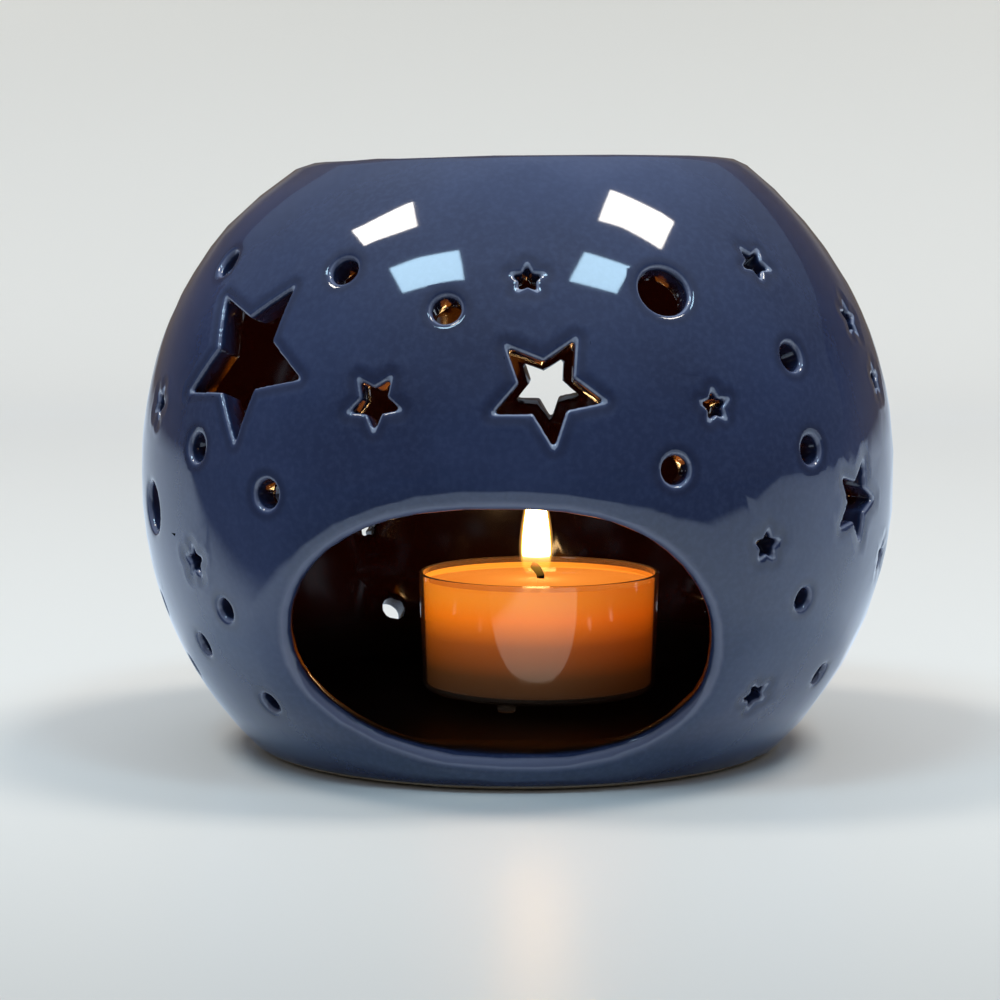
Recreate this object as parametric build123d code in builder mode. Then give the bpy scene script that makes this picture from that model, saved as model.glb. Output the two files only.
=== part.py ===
from build123d import *
from math import atan2, cos, radians, sin, sqrt, tan
import os

# Essential oil burner: a pierced stoneware globe with an oil dish in its top and a tealight inside.
# Millimetres. +Z is up, the table is z = 0, the axis of the globe is the Z axis, and the mouth faces -Y.

# Globe: a ball of stoneware, cut flat at the top and at the foot, where the cuts have these radii
globe_radius = 60.0
rim_radius = 33.9
foot_radius = 41.3
wall = 4.8
shoulder_round = 7.0

# Foot ring and chamber floor
foot_ring_width = 7.0
foot_round = 4.0
foot_recess = 2.4
floor_thickness = 4.8
floor_round = 3.0

# Mouth: a hand-cut oval whose sill falls a little outwards and whose outer edge is rolled
mouth_half_width = 31.0
mouth_top = 43.6
mouth_flare = 1.4
mouth_roll = 2.2
mouth_tilt = 2.6
sill_angle = 13.0

# How far the hand-cut oval stands out from an ellipse, counter-clockwise in even steps from +X
mouth_shares = (
    0.99, 1.0, 1.035, 1.035, 0.99, 1.005, 1.03, 1.03,
    1.035, 1.07, 1.08, 1.05, 1.0, 1.05, 1.08, 1.04,
)

# Oil dish: a shallow round bowl luted into the top of the globe
rim_land = 3.4
dish_rim = 2.4
dish_rim_round = 1.0
dish_depth = 13.6
dish_wall = 4.4
lute_gap = 0.05

# Cut-outs: a star is sized from its middle to a tip, a hole by its diameter
giant_star = 12.7
large_star = 8.3
middle_star = 6.3
small_star = 4.1
tiny_star = 2.9
spark_star = 2.4
star_waist_share = 0.48
big_hole = 7.6
round_hole = 4.2
pin_hole = 3.2
cut_overrun = 2.0

# Tealight cup: clear, tapered, on small feet, set down a little off the axis
tealight_offset = 3.5
cup_rim_radius = 19.25
cup_base_radius = 18.0
cup_height = 18.9
cup_wall = 0.7
cup_corner_round = 1.6
cup_foot_radius = 1.4
cup_foot_height = 1.2
cup_foot_inset = 2.2
cup_feet = 3
first_foot_angle = 254.0

# Wax and its melted pool
wax_gap = 0.1
wax_drop = 1.3
pool_edge = 1.2
pool_depth = 1.8

# Wick, and the steel sustainer that holds it upright
wick_radius = 0.65
wick_gap = 0.05
wick_stand = 0.5
wick_bend_radius = 2.6
wick_bend_angle = 62.0
sustainer_radius = 6.5
sustainer_thickness = 0.4
sustainer_neck_wall = 0.5
sustainer_neck_height = 3.0

# Places of the stars, in degrees: azimuth from the mouth towards +X, elevation from the middle of
# the globe, and how far the first tip turns clockwise from straight up, as seen from outside
star_places = {
    giant_star: [(-43.5, 19.8, 172.6), (132, 14, 8)],
    large_star: [(6.4, 16.3, 174.2), (-118, 3, 20)],
    middle_star: [(61, -1.7, 19.5), (176.8, 9.8, 186), (-88, 24, 0)],
    small_star: [(-18.2, 14.3, 176), (100, 16, 180), (-157, 23, 10), (147, -16, 0)],
    tiny_star: [(46.8, 34.3, -30), (70.1, 24.7, 10), (-108, 33, 20), (165, 31, 0), (118, -17, 30)],
    spark_star: [
        (3.8, 32.2, 0), (-66.4, 11.8, 20), (-52.7, -10.2, 0), (74, 15.2, 0), (31.1, 13.5, -4),
        (39.7, -6.3, 0), (44.9, -30, 40), (76.1, -11.3, 0), (-148.4, -15.2, 0), (-88, -8, 15), (172, -25, 0),
    ],
}

# Places of the round holes: azimuth and elevation, in degrees
hole_places = {
    big_hole: [(-67.5, -3.7), (26, 30.2), (-160, -1), (103, -1), (-131, 26)],
    round_hole: [
        (-58.9, 34), (-27.6, 33.3), (-8.7, 27.5), (-50.8, 6.4), (-35.1, 0.9), (47.3, 19.9), (24.3, 5),
        (48.5, 6.6), (-151, -30.7), (141, 35), (155, 2), (-139, 8), (118, 33), (-175, 27), (-97, 9),
    ],
    pin_hole: [
        (-46.7, -16.8), (-75.4, -19.3), (-57.4, -23.6), (-72.1, -29.3), (-43.9, -31.8), (49, -14.9),
        (63.3, -28.8), (86.6, 32.9), (179, -31), (-103, -14), (-120, -24), (90, -24), (138, -29),
        (-130, -8), (-103, 20), (-165, 12),
    ],
}

# Radii and heights that follow from the sizes above
inner_radius = globe_radius - wall
globe_centre_height = sqrt(globe_radius**2 - foot_radius**2)
globe_height = globe_centre_height + sqrt(globe_radius**2 - rim_radius**2)
seat_radius = rim_radius - rim_land
seat_height = globe_centre_height + sqrt(inner_radius**2 - seat_radius**2)
chamber_floor = foot_recess + floor_thickness
floor_radius = sqrt(inner_radius**2 - (globe_centre_height - chamber_floor) ** 2)
cut_depth = wall + 2 * cut_overrun
cup_base = chamber_floor + cup_foot_height
cup_rim = cup_base + cup_height
cup_floor = cup_base + cup_wall
wax_level = cup_rim - wax_drop
neck_radius = wick_radius + wick_gap + sustainer_neck_wall
tealight_axis = Axis((tealight_offset, 0, 0), (0, 0, 1))
tealight_section = Plane(origin=(tealight_offset, 0, 0), x_dir=(1, 0, 0), z_dir=(0, -1, 0))
standing = (Align.CENTER, Align.CENTER, Align.MIN)


def ball_arc(radius, centre_height, start, end):
    """The arc, in section, of a ball about the Z axis between two points on its right-hand side."""
    turns = [atan2(height - centre_height, across) for across, height in (start, end)]
    turn = sum(turns) / 2
    return ThreePointArc(start, (radius * cos(turn), centre_height + radius * sin(turn)), end)


def mouth_outline(half_width, low, high):
    """Points round the hand-cut oval, about between two heights, and turned by the tilt."""
    half_height = (high - low) / 2
    points = []
    for step, share in enumerate(mouth_shares):
        a = radians(360 * step / len(mouth_shares))
        point = Vector(half_width * share * cos(a), half_height * share * sin(a))
        points.append(point.rotate(Axis.Z, -mouth_tilt) + Vector(0, (low + high) / 2))
    return points


def cut_plane(azimuth, elevation, turn=0):
    """A plane just outside the wall, square to it, its up direction turned clockwise."""
    a, e, t = radians(azimuth), radians(elevation), radians(turn)
    outward = Vector(sin(a) * cos(e), -cos(a) * cos(e), sin(e))
    east = Vector(cos(a), sin(a), 0)
    across = east * cos(t) - outward.cross(east) * sin(t)
    centre = Vector(0, 0, globe_centre_height)
    return Plane(centre + outward * (globe_radius + cut_overrun), x_dir=across, z_dir=outward)


def star_outline(tip_radius):
    """The corners of a five-pointed star, tips and waists in turn, the first tip straight up."""
    reaches = (tip_radius, tip_radius * star_waist_share)
    bearings = [radians(36 * corner) for corner in range(10)]
    return [(reaches[n % 2] * sin(b), reaches[n % 2] * cos(b)) for n, b in enumerate(bearings)]


def cup_outline(inset, top):
    """Corners of half the cup's section, set in by a wall, from its base to a height, the base corner first."""
    spread = (cup_rim_radius - cup_base_radius) / cup_height
    low = cup_base + inset
    low_radius, top_radius = (cup_base_radius + spread * (z - cup_base) - inset for z in (low, top))
    return [(low_radius, low), (top_radius, top), (0, top), (0, low)]


# Globe shell: one cast wall with its foot ring, chamber floor, mouth and cut-outs
with BuildPart() as globe_shell:
    with BuildSketch(Plane.XZ) as section:
        foot_inner = (foot_radius - foot_ring_width, 0)
        foot_outer = (foot_radius, 0)
        rim_outer = (rim_radius, globe_height)
        seat_foot = (seat_radius, seat_height)
        floor_edge = (floor_radius, chamber_floor)
        recess_corner = (foot_radius - foot_ring_width, foot_recess)
        with BuildLine():
            Line(foot_inner, foot_outer)
            ball_arc(globe_radius, globe_centre_height, foot_outer, rim_outer)
            Polyline(rim_outer, (seat_radius, globe_height), seat_foot)
            ball_arc(inner_radius, globe_centre_height, seat_foot, floor_edge)
            Polyline(floor_edge, (0, chamber_floor), (0, foot_recess), recess_corner, foot_inner)
        make_face()
        rounds = {rim_outer: shoulder_round, foot_outer: foot_round, floor_edge: floor_round}
        for corner, radius in rounds.items():
            fillet(section.vertices().sort_by_distance(corner)[0], radius)
    revolve(axis=Axis.Z)

    # The mouth runs from inside the flat floor's edge to outside the globe
    sill_start = floor_radius - floor_round
    mouth_start = sill_start - floor_round
    mouth_end = globe_radius + cut_overrun
    sill_low = chamber_floor - (mouth_end - sill_start) * tan(radians(sill_angle))
    sill_high = chamber_floor + (sill_start - mouth_start) * tan(radians(sill_angle))
    with BuildSketch(Plane.XZ.offset(mouth_start)):
        with BuildLine():
            Spline(*mouth_outline(mouth_half_width - mouth_flare, sill_high, mouth_top), periodic=True)
        make_face()
    with BuildSketch(Plane.XZ.offset(mouth_end)):
        with BuildLine():
            Spline(*mouth_outline(mouth_half_width, sill_low, mouth_top), periodic=True)
        make_face()
    loft(ruled=True, mode=Mode.SUBTRACT)
    fillet(globe_shell.edges(Select.LAST).filter_by(lambda edge: edge.is_closed), mouth_roll)

    for tip_radius, places in star_places.items():
        with BuildSketch(*[cut_plane(*place) for place in places]):
            Polygon(*star_outline(tip_radius), align=None)
        extrude(amount=-cut_depth, mode=Mode.SUBTRACT)
    for diameter, places in hole_places.items():
        with BuildSketch(*[cut_plane(*place) for place in places]):
            Circle(diameter / 2)
        extrude(amount=-cut_depth, mode=Mode.SUBTRACT)

# Oil dish: a bowl of even wall that fills the opening in the top
with BuildPart() as oil_dish:
    dish_radius = seat_radius - lute_gap
    bowl_mouth = seat_radius - dish_rim
    bowl_radius = (bowl_mouth**2 + dish_depth**2) / (2 * dish_depth)
    bowl_centre = globe_height - dish_depth + bowl_radius
    under_radius = bowl_radius + dish_wall
    with BuildSketch(Plane.XZ) as dish_section:
        bowl_edge = (bowl_mouth, globe_height)
        bowl_floor = (0, globe_height - dish_depth)
        under_floor = (0, globe_height - dish_depth - dish_wall)
        under_edge = (dish_radius, bowl_centre - sqrt(under_radius**2 - dish_radius**2))
        with BuildLine():
            ball_arc(under_radius, bowl_centre, under_floor, under_edge)
            Polyline(under_edge, (dish_radius, globe_height), bowl_edge)
            ball_arc(bowl_radius, bowl_centre, bowl_edge, bowl_floor)
            Line(bowl_floor, under_floor)
        make_face()
        fillet(dish_section.vertices().sort_by_distance(bowl_edge)[0], dish_rim_round)
    revolve(axis=Axis.Z)

# Tealight cup: a thin tapered wall with a rounded corner and moulded feet
with BuildPart() as tealight_cup:
    with BuildSketch(tealight_section) as cup_section:
        outline = cup_outline(0, cup_rim)
        with BuildLine():
            Polyline(*outline, close=True)
        make_face()
        fillet(cup_section.vertices().sort_by_distance(outline[0])[0], cup_corner_round)
    revolve(axis=tealight_axis)
    with BuildSketch(tealight_section) as cup_hollow:
        outline = cup_outline(cup_wall, cup_rim)
        with BuildLine():
            Polyline(*outline, close=True)
        make_face()
        fillet(cup_hollow.vertices().sort_by_distance(outline[0])[0], cup_corner_round - cup_wall)
    revolve(axis=tealight_axis, mode=Mode.SUBTRACT)
    with Locations((tealight_offset, 0, chamber_floor)):
        with PolarLocations(cup_base_radius - cup_foot_inset, cup_feet, first_foot_angle):
            Cylinder(cup_foot_radius, cup_foot_height, align=standing)

# Steel sustainer: a disc on the floor of the cup with a neck round the wick
with BuildPart() as wick_sustainer:
    with Locations((tealight_offset, 0, cup_floor)):
        Cylinder(sustainer_radius, sustainer_thickness, align=standing)
        Cylinder(neck_radius, sustainer_neck_height, align=standing)
        Cylinder(wick_radius + wick_gap, sustainer_neck_height, align=standing, mode=Mode.SUBTRACT)

# Wick: upright through the wax, its free end curled over by the flame
with BuildPart() as wick:
    with BuildLine(tealight_section) as wick_path:
        stem = Line((0, cup_floor), (0, wax_level + wick_stand))
        JernArc(stem @ 1, (0, 1), wick_bend_radius, wick_bend_angle)
    with BuildSketch(Plane((tealight_offset, 0, cup_floor))):
        Circle(wick_radius)
    sweep()

# Wax: fills the cup round the sustainer and wick, with a shallow recess that holds the melted pool
wax_radius = cup_rim_radius - cup_wall - wax_gap - wax_drop * (cup_rim_radius - cup_base_radius) / cup_height
pool_radius = wax_radius - pool_edge
with BuildPart() as tealight_wax:
    with BuildSketch(tealight_section) as wax_section:
        outline = cup_outline(cup_wall + wax_gap, wax_level)
        with BuildLine():
            Polyline(*outline, close=True)
        make_face()
        fillet(wax_section.vertices().sort_by_distance(outline[0])[0], cup_corner_round - cup_wall - wax_gap)
    revolve(axis=tealight_axis)
    with Locations((tealight_offset, 0, cup_floor)):
        Cylinder(sustainer_radius + wax_gap, sustainer_thickness + wax_gap, align=standing, mode=Mode.SUBTRACT)
        Cylinder(neck_radius + wax_gap, sustainer_neck_height + wax_gap, align=standing, mode=Mode.SUBTRACT)
        Cylinder(wick_radius + wax_gap, cup_height, align=standing, mode=Mode.SUBTRACT)
    with Locations((tealight_offset, 0, wax_level - pool_depth)):
        Cylinder(pool_radius, pool_depth, align=standing, mode=Mode.SUBTRACT)

# Melted pool: liquid wax, level with the edge that is still solid
with BuildPart() as wax_pool:
    with Locations((tealight_offset, 0, wax_level - pool_depth)):
        Cylinder(pool_radius - wax_gap, pool_depth, align=standing)
        Cylinder(wick_radius + wax_gap, pool_depth, align=standing, mode=Mode.SUBTRACT)

pieces = {
    "globe_shell": globe_shell,
    "oil_dish": oil_dish,
    "tealight_cup": tealight_cup,
    "tealight_wax": tealight_wax,
    "wax_pool": wax_pool,
    "wick": wick,
    "wick_sustainer": wick_sustainer,
}
os.makedirs("parts", exist_ok=True)
for name, piece in pieces.items():
    piece.part.label = name
    export_step(piece.part, f"parts/{name}.step")
    print(f"{name}: {piece.part.volume / 1000:.2f} cm3")
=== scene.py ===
# %% [markdown]
# # A pierced stoneware oil burner
#
# The object is a slip-cast globe with stars and holes cut through its wall, an oil dish in its top and
# a tealight inside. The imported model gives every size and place. This file adds what a maker sees:
# soft glazed edges, clear plastic, glowing wax and a flame. Lengths in this file are written in
# millimetres and turned to metres where Blender needs them.

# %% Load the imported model
import math

import bmesh
import bpy
import numpy as np
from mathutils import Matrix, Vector
from mathutils.kdtree import KDTree


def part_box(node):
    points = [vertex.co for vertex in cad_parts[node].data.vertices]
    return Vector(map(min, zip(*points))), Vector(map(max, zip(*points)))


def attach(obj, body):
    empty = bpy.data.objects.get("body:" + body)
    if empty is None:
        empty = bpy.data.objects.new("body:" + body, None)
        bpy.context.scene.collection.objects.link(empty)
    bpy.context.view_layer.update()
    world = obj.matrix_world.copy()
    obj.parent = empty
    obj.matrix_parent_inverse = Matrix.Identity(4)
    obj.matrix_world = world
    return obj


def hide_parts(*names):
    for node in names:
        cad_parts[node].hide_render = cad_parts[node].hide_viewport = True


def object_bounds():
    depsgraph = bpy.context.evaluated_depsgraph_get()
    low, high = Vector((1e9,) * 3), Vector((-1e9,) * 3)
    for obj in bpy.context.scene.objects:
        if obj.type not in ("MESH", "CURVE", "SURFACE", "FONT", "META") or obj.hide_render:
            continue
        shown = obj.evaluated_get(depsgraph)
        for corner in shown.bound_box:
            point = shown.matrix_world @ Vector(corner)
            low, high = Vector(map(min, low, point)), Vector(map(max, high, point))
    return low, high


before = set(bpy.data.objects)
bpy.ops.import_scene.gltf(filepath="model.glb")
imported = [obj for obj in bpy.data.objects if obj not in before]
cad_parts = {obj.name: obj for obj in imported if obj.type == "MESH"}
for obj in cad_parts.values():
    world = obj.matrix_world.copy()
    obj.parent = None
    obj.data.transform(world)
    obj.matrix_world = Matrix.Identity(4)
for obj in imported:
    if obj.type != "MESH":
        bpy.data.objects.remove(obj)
cad_low, cad_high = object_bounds()
print("CAD box in mm:", [round(v * 1000, 1) for v in (*cad_low, *cad_high)])

# %% [markdown]
# ## Two helpers for every piece
#
# Operators act on all that is selected, so `only` clears the selection first and then picks the objects
# that the next operator may touch. `settle` names an object, puts its place into its mesh, makes it ride
# on its body and hides the imported parts that it replaces.

# %% Helpers for objects
MM = 0.001
JOIN_GAP = 0.002


def only(*objects):
    """Selects these objects and no others, and makes the first one active."""
    bpy.ops.object.select_all(action="DESELECT")
    for obj in objects:
        obj.select_set(True)
    bpy.context.view_layer.objects.active = objects[0]
    return objects[0]


def in_edit_mode(obj, *steps):
    """Runs a few edit-mode steps on all of an object's mesh."""
    only(obj)
    bpy.ops.object.mode_set(mode="EDIT")
    bpy.ops.mesh.select_all(action="SELECT")
    for step in steps:
        step()
    bpy.ops.object.mode_set(mode="OBJECT")


def add_modifier(obj, kind, **settings):
    """Adds a modifier with its settings and applies it at once."""
    only(obj)
    modifier = obj.modifiers.new(kind.lower(), kind)
    for name, value in settings.items():
        setattr(modifier, name, value)
    bpy.ops.object.modifier_apply(modifier=modifier.name)


def settle(obj, name, body, replaces=()):
    """Names a finished piece, puts its place in its mesh, and hands it to its body."""
    only(obj)
    bpy.ops.object.transform_apply(location=True, rotation=True, scale=True)
    obj.name = obj.data.name = name
    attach(obj, body)
    if replaces:
        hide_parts(*replaces)
    triangles = sum(len(face.vertices) - 2 for face in obj.data.polygons)
    print(f"{name}: {triangles} triangles")


# %% [markdown]
# ## One helper for every material
#
# Colours are written as the sRGB hex values that a paint chart gives, and one function turns them to
# the linear light that Blender mixes. Another adds a node with its settings, and sets each input to a
# value or links it to another node's output.

# %% Helpers for materials
def linear(hex_colour):
    """An sRGB hex colour as linear red, green, blue and alpha."""
    shares = [int(hex_colour[i:i + 2], 16) / 255 for i in (1, 3, 5)]
    return [c / 12.92 if c <= 0.04045 else ((c + 0.055) / 1.055) ** 2.4 for c in shares] + [1.0]


def add_node(tree, kind, settings=None, inputs=None):
    """Adds a node. An input given as a socket is linked, and any other value is set."""
    made = tree.nodes.new("ShaderNode" + kind)
    for name, value in (settings or {}).items():
        setattr(made, name, value)
    for name, value in (inputs or {}).items():
        if isinstance(value, bpy.types.NodeSocket):
            tree.links.new(value, made.inputs[name])
        else:
            made.inputs[name].default_value = value
    return made


def new_material(name):
    """An empty node material: its tree and the output's surface input are what the caller fills."""
    material = bpy.data.materials.new(name)
    material.use_nodes = True
    material.node_tree.nodes.clear()
    output = add_node(material.node_tree, "OutputMaterial")
    return material, material.node_tree, output


def set_ramp(ramp_node, stops):
    """Fills a colour ramp from pairs of position and colour."""
    elements = ramp_node.color_ramp.elements
    while len(elements) < len(stops):
        elements.new(0.5)
    for element, (position, colour) in zip(elements, stops):
        element.position = position
        element.color = colour


# %% [markdown]
# ## Find the cut-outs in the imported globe
#
# Every star and hole was cut square through the wall, so its rim on the outside is a closed loop of
# sharp edges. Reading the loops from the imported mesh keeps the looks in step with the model. A loop
# whose points all lie about as far from its middle is a round hole, and the others are stars.

# %% Read the rims
GLOBE_RADIUS = 60.0
BURNER_FOOT_RADIUS = 41.3
WALL = 4.8
HOLE_ROUNDNESS = 0.85
SHARP_TURN = math.radians(40)
RIM_STEP = 0.15
SEAM_GAP = 0.001
RADIUS_TOLERANCE = 0.06


def merged_copy(node_name):
    """A copy of a CAD node with its loose triangles joined up."""
    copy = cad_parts[node_name].copy()
    copy.data = copy.data.copy()
    copy.parent = None
    bpy.context.scene.collection.objects.link(copy)
    in_edit_mode(copy, lambda: bpy.ops.mesh.remove_doubles(threshold=SEAM_GAP * MM))
    return copy


globe_form = merged_copy("globe_shell")
GLOBE_CENTRE = Vector((0, 0, math.sqrt(GLOBE_RADIUS**2 - BURNER_FOOT_RADIUS**2))) * MM


def sharp_edges(obj):
    """End points of the edges where the surface turns sharply."""
    shape = bmesh.new()
    shape.from_mesh(obj.data)
    turned = [e for e in shape.edges if len(e.link_faces) == 2 and e.calc_face_angle() > SHARP_TURN]
    ends = [(e.verts[0].co.copy(), e.verts[1].co.copy()) for e in turned]
    shape.free()
    return ends


def at_radius(edge, radius):
    """Whether both ends of an edge lie on a ball round the globe's centre."""
    return all(abs((point - GLOBE_CENTRE).length - radius * MM) < RADIUS_TOLERANCE * MM for point in edge)


def rim_key(point):
    """A point in mm, rounded so that points in the same place compare as equal."""
    return tuple(round(c / MM, 2) for c in point)


def loops_of(edges):
    """Sorts edges into connected loops."""
    group = {}
    for a, b in edges:
        first = group.setdefault(rim_key(a), [rim_key(a)])
        second = group.setdefault(rim_key(b), [rim_key(b)])
        if first is not second:
            first.extend(second)
            for point in second:
                group[point] = first
    return list({id(points): points for points in group.values()}.values())


edges = sharp_edges(globe_form)
outer_rims = [edge for edge in edges if at_radius(edge, GLOBE_RADIUS)]
inner_rims = [edge for edge in edges if at_radius(edge, GLOBE_RADIUS - WALL)]
round_rim_points = set()
counts = {"stars": 0, "holes": 0}
for loop in loops_of(outer_rims):
    points = np.array(loop)
    reach = np.linalg.norm(points - (points.min(0) + points.max(0)) / 2, axis=1)
    is_hole = reach.min() > HOLE_ROUNDNESS * reach.max()
    counts["holes" if is_hole else "stars"] += 1
    if is_hole:
        round_rim_points.update(loop)
print("cut-outs found:", counts)

# %% [markdown]
# ## The glazed body
#
# A glazed pot has no sharp edges: the sponge takes the corner off the leather-hard clay, and the
# molten glaze rounds it again and piles up in a low roll a little way back. A bevel would trip over
# the many thin triangles of the cut surface. So a copy of the two clay pieces is remeshed into small
# even faces, as if it were dipped in glaze: this also closes the joint of globe and dish. Then each
# point near a rim is let down by a formula, and a few rounds of smoothing settle the surface.

# %% Dip the clay form
VOXEL = 0.25

burner = globe_form
dish_form = merged_copy("oil_dish")
only(burner, dish_form)
bpy.ops.object.join()
add_modifier(burner, "REMESH", mode="VOXEL", voxel_size=VOXEL * MM, adaptivity=0.0)
print("dipped form:", len(burner.data.vertices), "points")

# %% [markdown]
# ### Back to true balls
#
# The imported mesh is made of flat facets, and a mirror-like glaze would show them. The wall's outside and
# inside, the rounded shoulder and the bowl of the dish are all parts of balls or of a ring, so points
# that lie close to one are moved onto it.

# %% Put the points on the true round surfaces
RIM_RADIUS = 33.9
SHOULDER_ROUND = 7.0
RIM_LAND = 3.4
DISH_RIM = 2.4
DISH_DEPTH = 13.6
SNAP_REACH = 0.1


def mesh_points(obj):
    flat = np.empty(len(obj.data.vertices) * 3, np.float32)
    obj.data.vertices.foreach_get("co", flat)
    return flat.reshape(-1, 3).astype(float) / MM


def set_mesh_points(obj, points):
    obj.data.vertices.foreach_set("co", (points * MM).astype(np.float32).ravel())
    obj.data.update()


def snap(points, middles, ball_radius, where):
    """Moves points that are near a ball onto it. Each point has its own middle."""
    away = points - middles
    reach = np.linalg.norm(away, axis=1)
    off = ball_radius - reach
    share = np.clip(2 - 2 * np.abs(off) / SNAP_REACH, 0, 1) * where
    points += away * (off * share / reach)[:, None]


points = mesh_points(burner)
centre = np.array(GLOBE_CENTRE) / MM
top_height = math.sqrt(GLOBE_RADIUS**2 - RIM_RADIUS**2)
ring_height = top_height - SHOULDER_ROUND
ring_radius = math.sqrt((GLOBE_RADIUS - SHOULDER_ROUND)**2 - ring_height**2)
across = np.hypot(points[:, 0], points[:, 1])
rise = points[:, 2] - centre[2]
on_shoulder = (across > ring_radius) & (rise > across * ring_height / ring_radius)
snap(points, centre, GLOBE_RADIUS, ~on_shoulder)
snap(points, centre, GLOBE_RADIUS - WALL, True)
ring_points = np.column_stack([
    points[:, 0] * ring_radius / np.maximum(across, 1), points[:, 1] * ring_radius / np.maximum(across, 1),
    np.full(len(points), centre[2] + ring_height)])
snap(points, ring_points, SHOULDER_ROUND, on_shoulder)
bowl_mouth = RIM_RADIUS - RIM_LAND - DISH_RIM
bowl_radius = (bowl_mouth**2 + DISH_DEPTH**2) / (2 * DISH_DEPTH)
bowl_centre = centre + (0, 0, top_height - DISH_DEPTH + bowl_radius)
snap(points, bowl_centre, bowl_radius, (rise < top_height) & (across < bowl_mouth))

# %% [markdown]
# ### Soft rims
#
# On the real globe a knife cut each rim and a wet sponge rounded it: more at the holes than at the
# stars, whose tips a sponge doesn't reach. In the kiln the glaze drew back from the edge and left a
# shallow dip, at the stars with a low roll behind it. The mouth was sponged most, so its edge rolls in
# broadly. Each point near a rim is moved by a formula of its distance from that rim, because this gives
# all 63 cut-outs the same soft edge.

# %% Round the rims and roll the glaze back from them
STAR_ROUND = 0.4
HOLE_ROUND = 0.75
INNER_ROUND = 0.9
STAR_DIP_DEPTH = 0.16
STAR_DIP_WIDTH = 2.3
HOLE_DIP_DEPTH = 0.09
HOLE_DIP_WIDTH = 1.5
ROLL_HEIGHT = 0.05
ROLL_PLACE = 2.4
ROLL_WIDTH = 0.45
MOUTH_DROP = 0.45
MOUTH_WIDTH = 4.4


def rim_tree(rims):
    """A search tree of points set close along the rims, and whether each is on a round hole."""
    places, is_round = [], []
    for a, b in rims:
        on_hole = rim_key(a) in round_rim_points
        steps = max(1, math.ceil((b - a).length / (RIM_STEP * MM)))
        for step in range(steps):
            places.append((a + (b - a) * (step / steps)) / MM)
            is_round.append(on_hole)
    tree = KDTree(len(places))
    for index, place in enumerate(places):
        tree.insert(place, index)
    tree.balance()
    return tree, np.array(is_round)


def nearest(tree, points):
    """Distance to, and number of, the nearest place in a tree, for each point."""
    found = [tree.find(point)[1:] for point in points]
    return np.array([f[1] for f in found]), np.array([f[0] for f in found])


away = points - centre
radius = np.linalg.norm(away, axis=1)
outward = away / radius[:, None]
outer_tree, outer_is_round = rim_tree(outer_rims)
inner_tree, _ = rim_tree(inner_rims)
shift = np.zeros(len(points))


def let_down(s, round_radius):
    """How far a surface drops at a distance s from a rim that is rounded to a radius."""
    inside = np.clip(round_radius - s, 0, round_radius)
    return round_radius - np.sqrt(round_radius**2 - inside**2)


half_wall = WALL / 2
from_rims = np.full(len(points), STAR_DIP_WIDTH + WALL)
near = np.flatnonzero(radius > GLOBE_RADIUS - half_wall)
distance, which = nearest(outer_tree, points[near])
from_rims[near] = distance
depth = np.clip(GLOBE_RADIUS - radius[near], 0, half_wall)
lateral = np.sqrt(np.maximum(distance**2 - depth**2, 0))
beside = lateral < STAR_DIP_WIDTH + 2 * ROLL_WIDTH
on_hole = outer_is_round[which]
rounding = np.where(on_hole, HOLE_ROUND, STAR_ROUND)
dip_depth = np.where(on_hole, HOLE_DIP_DEPTH, STAR_DIP_DEPTH)
dip_width = np.where(on_hole, HOLE_DIP_WIDTH, STAR_DIP_WIDTH)
fade = 1 - depth / half_wall
dip = dip_depth * np.cos(np.clip(lateral / dip_width, 0, 1) * math.pi / 2) ** 2
drop = let_down(lateral, rounding) + dip
roll = np.where(on_hole, 0, ROLL_HEIGHT) * np.exp(-(((lateral - ROLL_PLACE) / ROLL_WIDTH) ** 2))
shift[near] -= np.where(beside, (drop - roll) * fade, 0)

front_loops = [loop for loop in loops_of(inner_rims) if max(point[1] for point in loop) < 0]
mouth_rim = set(max(front_loops, key=len))
mouth_tree, _ = rim_tree([edge for edge in inner_rims if rim_key(edge[0]) in mouth_rim])
to_mouth, _ = nearest(mouth_tree, points[near])
beside_mouth = np.sqrt(np.maximum(to_mouth**2 - WALL**2, 0)) / MOUTH_WIDTH
shift[near] -= MOUTH_DROP * np.cos(np.clip(beside_mouth, 0, 1) * math.pi / 2) ** 2 * fade

near = np.flatnonzero((radius > GLOBE_RADIUS - WALL - 0.2) & (radius < GLOBE_RADIUS - half_wall))
distance, which = nearest(inner_tree, points[near])
from_rims[near] = distance
depth = np.clip(radius[near] - (GLOBE_RADIUS - WALL), 0, half_wall)
lateral = np.sqrt(np.maximum(distance**2 - depth**2, 0))
shift[near] += np.where(lateral < INNER_ROUND, let_down(lateral, INNER_ROUND) * (1 - depth / half_wall), 0)

# %% [markdown]
# ### Out of true
#
# A cast globe is never a perfect ball. Measured on the photograph, this one is a little slack round
# its middle, its right shoulder stands fuller, and its top is lower on the left. Broad waves of a tenth
# of a millimetre stand for the hand that fettled it: they bend the reflections without being seen.

# %% Put the globe a little out of true
SLACK_MIDDLE = 0.45
SLACK_REACH = 0.38
SHOULDER_LEAN = 0.5
TOP_DROP = 0.9
TOP_DROP_FROM = 2.0
TOP_DROP_REACH = 36.0
TOP_BEGINS = 80.0
FOOT_HOLD = 6.0
WAVE_HEIGHT = 0.05
WAVES = ((2, 3.1, 0.4), (3, 2.2, 1.9), (5, 4.3, 0.8))
SETTLE_ROUNDS = 10


def elevation_of(outward):
    """The angle, in radians, by which each direction points up."""
    return np.arcsin(np.clip(outward[:, 2], -1, 1))


def slack(outward):
    """How far the wall lies inside the true ball, for directions away from the middle."""
    return SLACK_MIDDLE * np.exp(-((elevation_of(outward) / SLACK_REACH) ** 2))


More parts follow.
